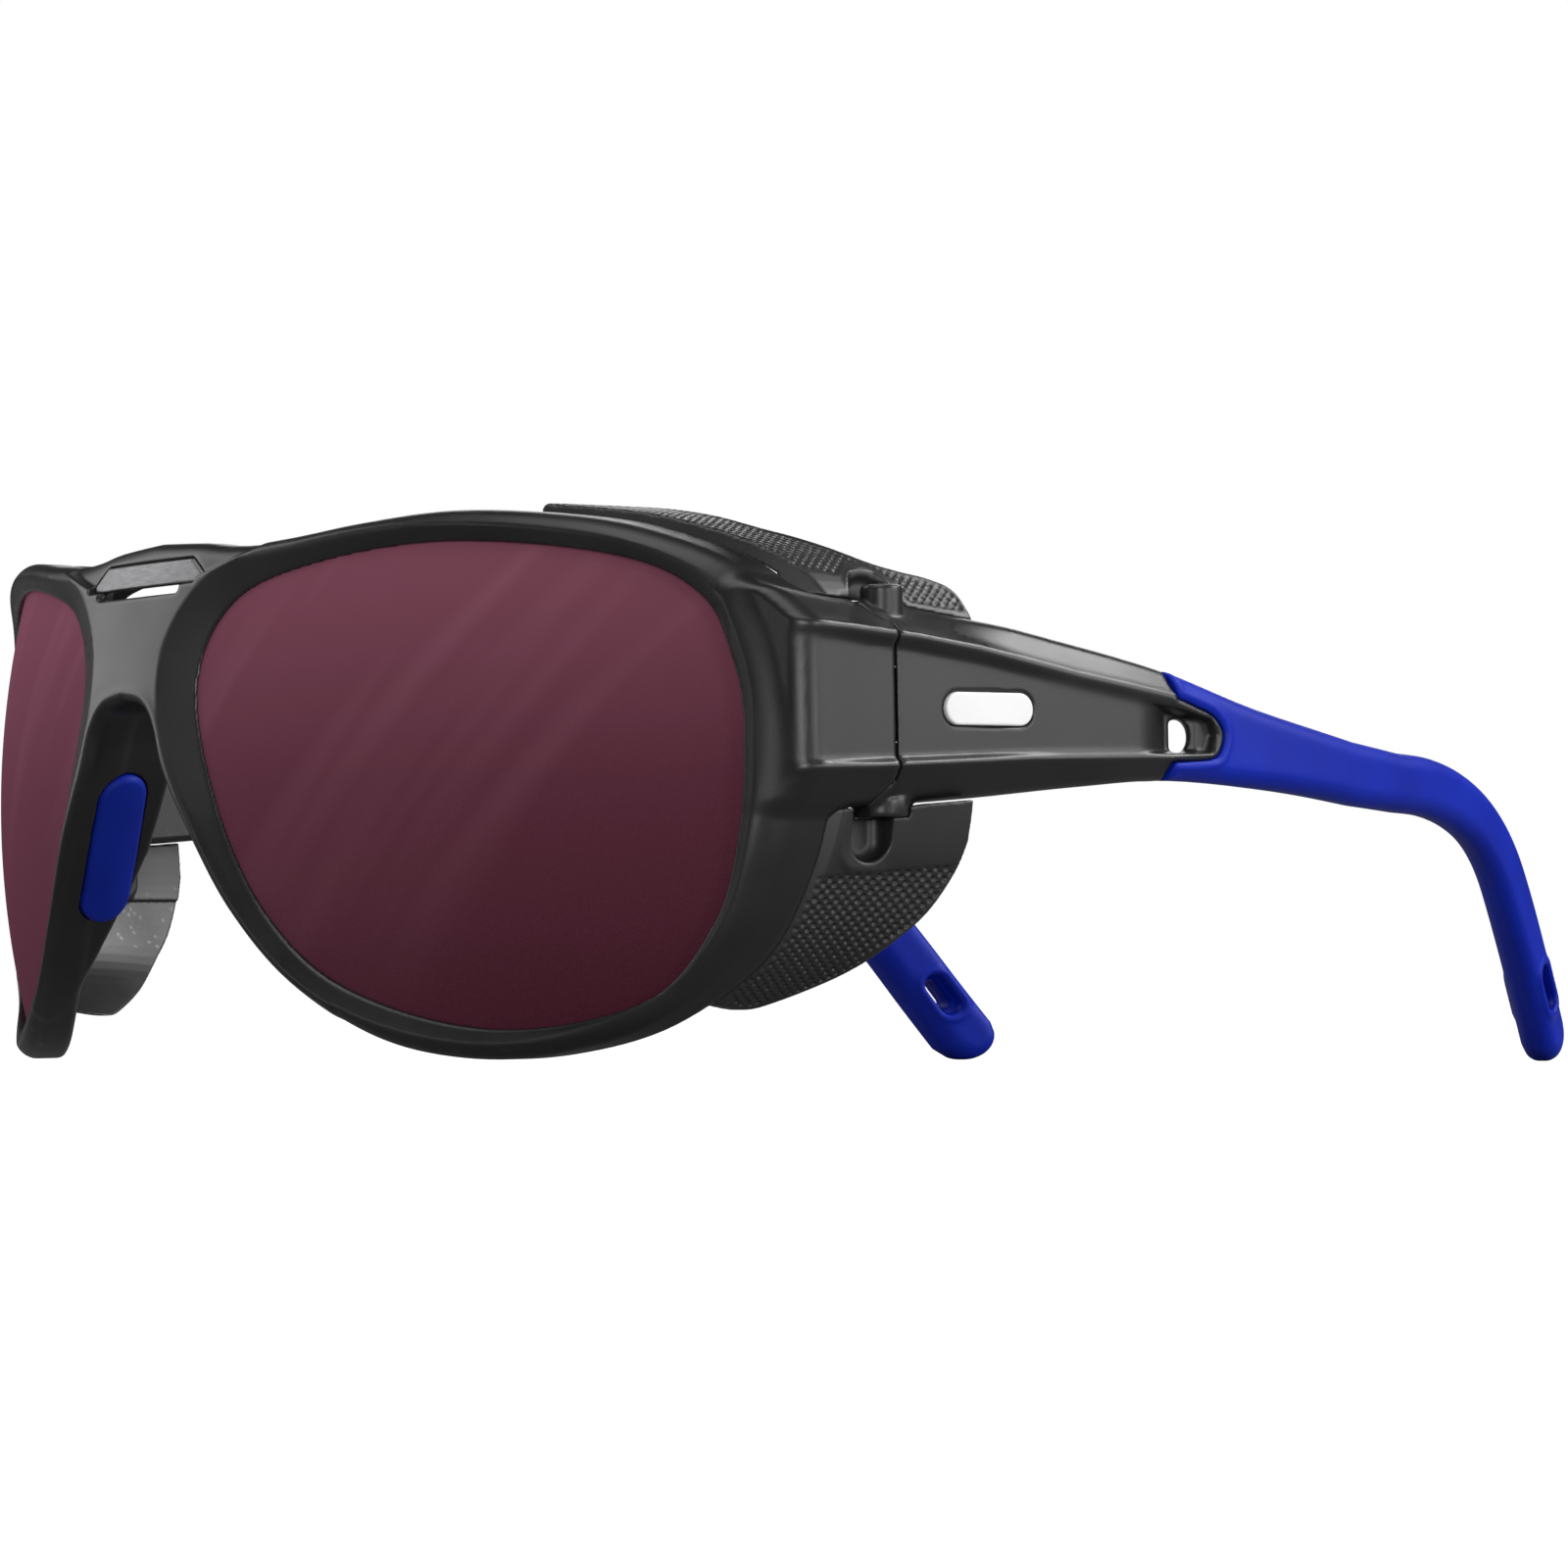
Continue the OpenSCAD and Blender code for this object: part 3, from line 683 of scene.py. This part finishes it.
def temple():
    ys, zs, ts = axis(37.4, 83.2, 0.2), axis(-4.6, 19.2, 0.2), axis(-5.6, 2.6, 0.2)
    y2, z2 = np.meshgrid(ys, zs, indexing="ij")
    side2 = both(area_distance(y2, z2, ARM_SIDE), area_distance(y2, z2, HARD_SIDE), 0.3)
    tongue2, _ = path_distance(y2, z2, TONGUE)
    lip = bump(tongue2 - 0.55, 0.35) * step(y2, 74, 77)
    face2 = face_depth(y2, z2) * (1 - 0.85 * step(y2, 76, 79)) + 0.10 * step(y2, 76, 79) - 0.16 * lip
    face2 = np.maximum(face2, 0.0)
    # vent: a ramp that deepens towards its through hole
    vent2 = area_distance(y2, z2, [(69.8, 8.2), (80.6, 6.1), (81.2, 4.6), (80.6, 2.75), (69.8, 2.6)])
    ramp = np.clip((y2 - 70.2) / 5.2, 0, 1) ** 1.9 * (1 - 0.42 * step(y2, 78.2, 79.2))
    face2 = face2 + 1.7 * ramp * step(-vent2, -0.15, 0.35)
    side, face = side2[:, :, None], face2[:, :, None]
    y, z, t = y2[:, :, None], z2[:, :, None], ts[None, None, :]
    x = arm_x(y, t)
    outer = t - ARM_HALF_T + face
    solid = both(side, outer, 0.7)
    solid = both(solid, -ARM_HALF_T - t, 0.7)
    solid = both(solid, SEAM_Y - y, 0.2)
    hinge = np.hypot(x - HINGE_X, y - HINGE_Y)
    for low, high in ((-2.7, 3.38), (10.82, 17.0)):
        ring = both(hinge - KNUCKLE_R, np.abs(z - (low + high) / 2) - (high - low) / 2, 0.3)
        solid = either(solid, both(ring, outer, 0.3), 0.3)
    boss_top = both(both(np.hypot(x - 70.2, y - 41.1) - 2.05, z - 18.6, 0.45), 14.0 - z)
    boss_low = both(both(np.hypot(x - 70.8, y - 41.2) - 1.75, -3.7 - z, 1.2), z + 0.9, 1.0)
    seat_low = both(both(hinge - 2.75, -3.7 - z, 0.25), z + 2.0)
    solid = either(either(either(solid, boss_top, 0.35), seat_low, 0.35), boss_low, 0.35)
    solid = both(solid, -both(hinge - KNUCKLE_SPACE_R, np.abs(z - KNUCKLE_MID_Z) - 3.72, 0.1), 0.15)
    solid = both(solid, -both(hinge - SCREW_HOLE_R, 9.0 - z))
    solid = both(solid, -both(hinge - 1.35, 17.5 - z))
    solid = both(solid, -both(hinge - 1.6, np.abs(z - 1.1) - 3.3))
    inlay = slot(y - INLAY_Y, z - INLAY_Z, 11.1, 3.4)
    solid = both(solid, -both(inlay, 1.25 - t), 0.08)
    slant = y - 0.85 * (0.5 - t)
    hole = both(np.hypot(slant - 76.8, z - 4.5) - 1.7, 75.8 - slant, 0.2)
    solid = both(solid, -hole, 0.25)
    wire, _ = path_distance(y2, z2, WIRE_LINE)
    solid = both(solid, -both(np.hypot(wire[:, :, None], t) - 0.9, 81.1 - y))
    return net_piece(solid.astype(np.float32), [ys, zs, ts], arm_place)


WIRE_LINE = np.concatenate([open_curve([(79, 4.3), (92, 2.6), (104, 1.1)], 3), EAR_LINE[0:28:4]])


def cord_slot(y, z, length, width):
    a = math.radians(-57)
    u, v = y - 146.0, z + 21.4
    return slot(u * math.cos(a) + v * math.sin(a), -u * math.sin(a) + v * math.cos(a), length, width)


def ear_sleeve():
    ys, zs, ts = axis(74, 153.2, 0.25), axis(-30.1, 11.8, 0.25), axis(-2.9, 2.9, 0.2)
    y2, z2 = np.meshgrid(ys, zs, indexing="ij")
    side2 = area_distance(y2, z2, ARM_SIDE)
    hard2 = area_distance(y2, z2, HARD_SIDE)
    ring2 = cord_slot(y2, z2, 6.0, 3.0)
    half = ARM_HALF_T + 0.20 * bump(hard2 - 0.6, 0.35) - 0.05 + 0.28 * step(y2, 128, 142)
    half = half + 0.26 * bump(ring2 - 0.35, 0.38)
    side = side2[:, :, None]
    y, z, t = y2[:, :, None], z2[:, :, None], ts[None, None, :]
    bulge = np.abs(t) - half[:, :, None]
    solid = both(side, bulge, 2.0)
    solid = both(solid, -(hard2[:, :, None] + 0.05), 0.15)
    cup = both(ring2[:, :, None] + 0.25, 0.95 - np.abs(t), 0.5)
    solid = both(solid, -cup, 0.3)
    solid = both(solid, -cord_slot(y2, z2, 4.2, 1.8)[:, :, None], 0.3)
    wire, _ = path_distance(y2, z2, WIRE_LINE)
    inside_wire = both(np.hypot(wire[:, :, None], t) - 0.88, 81.2 - y)
    solid = both(solid, -inside_wire)
    return net_piece(solid.astype(np.float32), [ys, zs, ts], arm_place)


def core_wire():
    ys, zs, ts = axis(80.8, 143.5, 0.25), axis(-21, 5.5, 0.2), axis(-1, 1, 0.15)
    y2, z2 = np.meshgrid(ys, zs, indexing="ij")
    wire, _ = path_distance(y2, z2, WIRE_LINE)
    t = ts[None, None, :]
    solid = both(np.hypot(wire[:, :, None], t) - 0.8, 81.4 - y2[:, :, None], 0.2)
    return net_piece(solid, [ys, zs, ts], arm_place)


def inlay():
    ys, zs, ts = axis(45.6, 57.2, 0.12), axis(4.8, 8.6, 0.12), axis(1.1, 2.1, 0.08)
    y, z, t = np.meshgrid(ys, zs, ts, indexing="ij")
    solid = both(slot(y - INLAY_Y, z - INLAY_Z, 10.9, 3.2), t - 1.86, 0.18)
    solid = both(solid, 1.27 - t, 0.05)
    return net_piece(solid, [ys, zs, ts], arm_place)


def hinge_screw():
    us, zs = axis(-1.4, 1.4, 0.09), axis(-2.0, 18.7, 0.09)
    u, v, z = np.meshgrid(us, us, zs, indexing="ij")
    r = np.hypot(u, v)
    thread = 0.09 * np.abs(((z / 0.4 + np.arctan2(v, u) / (2 * math.pi)) % 1) * 2 - 1) * (z < 3.6)
    solid = both(r - 0.8 + thread, np.abs(z - 8.1) - 9.9, 0.15)
    solid = np.minimum(solid, both(r - 1.22, np.abs(z - 18.05) - 0.45, 0.16))
    solid = both(solid, -both(np.abs(v) - 0.2, 18.1 - z), 0.05)
    return net_piece(solid, [us, us, zs], lambda a, b, c: (a + HINGE_X, b + HINGE_Y, c))


def threaded_insert():
    us, zs = axis(-1.7, 1.7, 0.1), axis(-2.4, 3.2, 0.1)
    u, v, z = np.meshgrid(us, us, zs, indexing="ij")
    r = np.hypot(u, v)
    knurl = 0.12 * np.abs(np.sin(9 * np.arctan2(v, u))) * (np.abs(z - 0.4) < 1.7)
    solid = both(both(r - 1.5 + knurl, np.abs(z - 0.4) - 2.55, 0.15), 0.9 - r, 0.08)
    return net_piece(solid, [us, us, zs], lambda a, b, c: (a + HINGE_X, b + HINGE_Y, c))


# ---- Side shields ----

UPPER_PLAN = np.concatenate([open_curve([
    (45.3, 10), (45.3, 29.5), (47.6, 31.8), (54, 32.6), (58.8, 34.6), (61.5, 37.4), (63.8, 40.0),
    (65.6, 42.5), (66.6, 45.4), (67.3, 49), (68.2, 51.5), (69.8, 52.6)], 4), [(80, 52.6), (80, 10)]])
UNDER_ARM = [(y, np.interp(y, ARM_BOTTOM[::-1, 0], ARM_BOTTOM[::-1, 1]) - 0.12)
             for y in (44.6, 47, 49.7)]
LOWER_SIDE = np.concatenate([[(20, -2.85), (41.5, -2.85), (42.5, -2.7)], UNDER_ARM, open_curve([
    (49.5, -6), (48.5, -9), (46.4, -12.7), (43.7, -15.5), (40.8, -17.9), (38.0, -19.6),
    (34.2, -21.3), (31.8, -21.9), (28, -21.4), (20, -20)], 4)])


def side_shield():
    xs = axis(44.8, 74.6, SHIELD_PITCH)
    ys = axis(9.5, 53.4, SHIELD_PITCH)
    zs = axis(-23.6, 28.8, SHIELD_PITCH)
    x2, z2 = np.meshgrid(xs, zs, indexing="ij")
    out2, along2 = path_distance(x2, z2, HALF_OUTLINE)
    out2 = np.where(inside(x2, z2, OUTLINE), -out2, out2)
    single = np.float32
    out, along = out2[:, None, :].astype(single), along2[:, None, :].astype(single)
    x = xs[:, None, None].astype(single)
    y = ys[None, :, None].astype(single)
    z = zs[None, None, :].astype(single)
    xp, yp = np.meshgrid(xs, ys, indexing="ij")
    plan = area_distance(xp, yp, UPPER_PLAN)[:, :, None].astype(single)
    ys2, zs2 = np.meshgrid(ys, zs, indexing="ij")
    lower = area_distance(ys2, zs2, LOWER_SIDE)[None].astype(single)
    roof = area_distance(x2, z2, [(40, 31), (80, 31), (80, 14), (66, 14), (60, 17.3), (40, 24)])
    roof = roof[:, None, :].astype(single)

    # small pits in a staggered pattern, on the fields that the smooth borders leave free
    pits = np.maximum(np.cos(2 * np.pi * along / 1.05) * np.cos(2 * np.pi * y / 1.2), 0) ** 0.8
    pits_top = np.maximum(np.cos(2 * np.pi * along / 0.95) * np.cos(2 * np.pi * y / 1.05), 0)
    edge_line = np.interp(zs, [-19, -15.8, -12.6, -9.2], [28.7, 30.3, 31.9, 32.8])
    edge_line = edge_line[None, None, :].astype(single)
    low_field = step(y - edge_line, 0.0, 0.4) * step(-8.0 - 0.073 * (49.3 - y) - z, 0.0, 0.4)
    low_field = low_field * step(-lower, 0.25, 0.6)
    arch = np.hypot(y - HINGE_Y, np.maximum(z - 17.0, 0)) - 2.65
    top_field = step(y - 16.5, 0, 0.4) * step(-plan, 0.4, 0.8) * step(arch, 1.2, 1.6)
    border = np.interp(ys, [24.9, 28.4, 32.2, 38.9, 45.5, 52.4], [23.8, 21.1, 19.9, 18.8, 16.5, 15.5])
    top_field = top_field * step(z - border[None, :, None], 0.5, 1.0)

    lift = -0.2 + 1.35 * step(y, 25, 49) + 0.9 * step(y, 36, 50)
    thick = SHIELD_T - 0.35 * step(-8.7 - z, 0, 0.2)
    skin_low = out - lift + (0.10 + 0.34 * pits) * low_field
    sheet_low = both(skin_low, lift - thick - out, 0.3)
    sheet_low = both(sheet_low, lower, 0.15)
    sheet_low = both(sheet_low, 58 - x, 0.3)
    lift_top = 0.25 + 0.65 * step(y, 10, 22)
    skin_top = out - lift_top + (0.10 + 0.20 * pits_top) * top_field
    sheet_top = both(skin_top, lift_top - SHIELD_T - out, 0.3)
    hinge = np.hypot(x - HINGE_X, y - HINGE_Y)
    over_arm = np.interp(hinge, [3.3, 3.7, 11.6], [17.2, 16.65, 15.45])
    over_end = np.interp(ys, [28, 34, 40.5, 41], [18.75, 17.65, 17.1, 14])[None, :, None]
    sheet_top = both(both(sheet_top, plan, 0.5), roof, 0.4)
    sheet_top = both(sheet_top, np.maximum(over_arm, over_end).astype(single) - z, 0.15)
    solid = np.minimum(sheet_low, sheet_top)

    # band beside the eye that joins the two wings, with its upper and lower ledges
    along_side = np.abs(y - 31.7) - 6.7
    band = both(np.abs(x - 65.2) - 0.8, both(along_side, np.abs(z - 7.2) - 11.8, 1.5), 0.4)
    ledge_top = both(both(np.abs(x - 66.5) - 2.1, along_side, 0.8), np.abs(z - 18.4) - 1.0, 0.4)
    ledge_low = both(both(np.abs(x - 67.1) - 2.7, along_side, 0.8), np.abs(z + 4.0) - 0.8, 0.4)
    ledge_top = both(ledge_top, out + 0.3, 0.3)
    creases = 0.22 * (bump(z - 1.0, 0.5) + bump(z - 13.0, 0.5))
    solid = either(solid, either(either(band + creases, ledge_top, 0.6), ledge_low, 0.6), 0.5)

    # pockets for the two bosses, open to the outside, each with a rounded end and its own wall
    trough = np.hypot(y - 38.6, np.maximum(-5.8 - z, 0)) - 2.2
    low_wall = both(both(np.abs(y - 38.8) - 3.3, -8.8 - z, 1.8), both(x - 70.4, z + 2.85, 0.15), 0.3)
    low_wall = both(low_wall, 68.2 - x, 0.5)
    top_wall = both(both(both(arch - 0.6, x - 68.3, 0.4), 17.3 - z, 0.2), 65.9 - x, 0.6)
    solid = either(either(solid, low_wall, 0.6), top_wall, 0.5)
    solid = both(solid, -both(trough, 69.0 - x, 1.2), 0.3)
    solid = both(solid, -both(both(hinge - 2.85, 67.3 - x), -3.73 - z, 0.3), 0.1)
    solid = both(solid, -both(both(arch, 66.8 - x, 0.8), 14 - z), 0.3)
    rho = np.sqrt(x * x + (y - LENS_R) ** 2 + z * z)
    solid = both(solid, rho - BACK_R + 0.08, 0.2)
    return net_piece(solid.astype(single), [xs, ys, zs], lambda a, b, c: (a, b, c))


# ---- Build ----

make("front_frame_nylon", front_frame(), NYLON, "front", ["front_frame"])
make("brow_badge_plate", brow_badge(), BADGE, "front", ["brow_badge"])

pairs = [
    ("lens", lens, LENS, "front", "lens", "lens_tint", 30),
    ("nose_pad_rubber", nose_pad, PAD, "front", "nose_pad", "pad_rubber", None),
    ("temple_nylon", temple, ARM_NYLON, "arm", "temple", "arm_nylon", None),
    ("ear_sleeve_rubber", ear_sleeve, BLUE, "arm", "ear_sleeve", "sleeve_rubber", None),
    ("core_wire_steel", core_wire, WIRE, "arm", "core_wire", "wire_steel", None),
    ("temple_inlay_white", inlay, WHITE, "arm", "temple_inlay", "inlay_white", None),
    ("hinge_screw_steel", hinge_screw, STEEL, "arm", "hinge_screw", "screw_steel", None),
    ("threaded_insert_brass", threaded_insert, BRASS, "arm", "threaded_insert", "insert_brass", None),
    ("side_shield_soft", side_shield, SHIELD, "shield", "side_shield", "shield_soft", None),
]
for name, build, material, body, node, slot_name, sharp in pairs:
    piece = build()
    for side in ("left", "right"):
        on = body if body == "front" else f"{side}_{body}"
        shape = piece if side == "left" else mirrored(piece)
        make(f"{side}_{name}", shape, material, on, [f"{side}_{node}"], sharp)


# ---- Stage, light and camera ----

# Azimuth, elevation and roll in degrees, the place in the millimetres used for shapes, and the
# focal length in millimetres.
CAMERA_ANGLES = (52.23, -1.91, -0.98)
CAMERA_AT = (495.2, -300.4, -18.5)
CAMERA_LENS = 130.75

# name, direction from the glasses, distance, width and height in metres, power in watts
LIGHTS = [
    ("key_left", (-0.86, -0.50, 0.42), 1.1, 0.7, 0.9, 5),
    ("top_back", (0.42, 0.64, 0.62), 1.1, 0.5, 0.3, 7),
    ("far_back", (-0.65, 0.60, 0.45), 1.2, 0.6, 0.4, 2.4),
    ("side_back", (0.80, 0.60, 0.26), 1.2, 0.8, 0.5, 5),
    ("near_camera", (0.76, -0.64, 0.18), 1.3, 0.25, 0.45, 5),
    ("front_strip", (-0.08, -0.97, 0.08), 1.3, 0.25, 0.7, 1.3),
    ("side_strip", (0.98, 0.04, 0.10), 1.3, 0.35, 0.5, 4),
    ("overhead", (0.15, -0.30, 1.0), 1.2, 0.9, 0.9, 6),
]


def floor():
    """A pale floor, pure white to the camera and dark to every other ray."""
    mesh = bpy.data.meshes.new("floor")
    half = 6.0
    corners = [(-half, -half, 0), (half, -half, 0), (half, half, 0), (-half, half, 0)]
    mesh.from_pydata(corners, [], [(0, 1, 2, 3)])
    mat, nodes, links, shader, place = new_material("floor_pale")
    shader.inputs["Roughness"].default_value = 0.9
    shader.inputs["Specular IOR Level"].default_value = 0.0
    shade = noise_node(nodes, links, place, 40.0)
    tone = range_node(nodes, links, shade.outputs["Fac"], 0.3, 0.7, 0.21, 0.23)
    links.new(tone, shader.inputs["Base Color"])
    path = nodes.new("ShaderNodeLightPath")
    shader.inputs["Emission Color"].default_value = (1, 1, 1, 1)
    links.new(path.outputs["Is Camera Ray"], shader.inputs["Emission Strength"])
    mesh.materials.append(mat)
    obj = bpy.data.objects.new("floor", mesh)
    bpy.context.scene.collection.objects.link(obj)


def soft_light(name, toward, distance, width, height, power):
    """A rectangular soft light that faces the glasses from the direction given."""
    data = bpy.data.lights.new(name, "AREA")
    data.shape = "RECTANGLE"
    data.size = width
    data.size_y = height
    data.energy = power
    obj = bpy.data.objects.new(name, data)
    aim = Vector(toward).normalized()
    obj.location = Vector((0, -0.02, 0.03)) + aim * distance
    obj.rotation_mode = "QUATERNION"
    obj.rotation_quaternion = aim.to_track_quat("Z", "Y")
    bpy.context.scene.collection.objects.link(obj)


def world():
    """White to the camera, and a faint even light to everything else."""
    sky = bpy.data.worlds.new("studio")
    bpy.context.scene.world = sky
    sky.use_nodes = True
    nodes, links = sky.node_tree.nodes, sky.node_tree.links
    plain = nodes["Background"]
    plain.inputs["Color"].default_value = (1, 1, 1, 1)
    plain.inputs["Strength"].default_value = 0.03
    seen = nodes.new("ShaderNodeBackground")
    seen.inputs["Color"].default_value = (1, 1, 1, 1)
    seen.inputs["Strength"].default_value = 1.0
    path = nodes.new("ShaderNodeLightPath")
    mix = nodes.new("ShaderNodeMixShader")
    links.new(path.outputs["Is Camera Ray"], mix.inputs[0])
    links.new(plain.outputs[0], mix.inputs[1])
    links.new(seen.outputs[0], mix.inputs[2])
    links.new(mix.outputs[0], nodes["World Output"].inputs["Surface"])


def camera():
    azimuth, elevation, roll = (math.radians(v) for v in CAMERA_ANGLES)
    back = Vector((math.sin(azimuth) * math.cos(elevation), -math.cos(azimuth) * math.cos(elevation),
                   math.sin(elevation)))
    right = Vector((math.cos(azimuth), math.sin(azimuth), 0))
    up = back.cross(right)
    turned_right = right * math.cos(roll) + up * math.sin(roll)
    turned_up = up * math.cos(roll) - right * math.sin(roll)
    data = bpy.data.cameras.new("camera")
    data.sensor_width = 36
    data.lens = CAMERA_LENS
    data.clip_start = 0.01
    data.clip_end = 50
    obj = bpy.data.objects.new("camera", data)
    turn = Matrix((turned_right, turned_up, back)).transposed()
    obj.matrix_world = Matrix.Translation(Vector(to_row(np.array(CAMERA_AT)))) @ turn.to_4x4()
    bpy.context.scene.collection.objects.link(obj)
    bpy.context.scene.camera = obj


floor()
world()
for light in LIGHTS:
    soft_light(*light)
camera()
bpy.context.scene.view_settings.view_transform = "Standard"
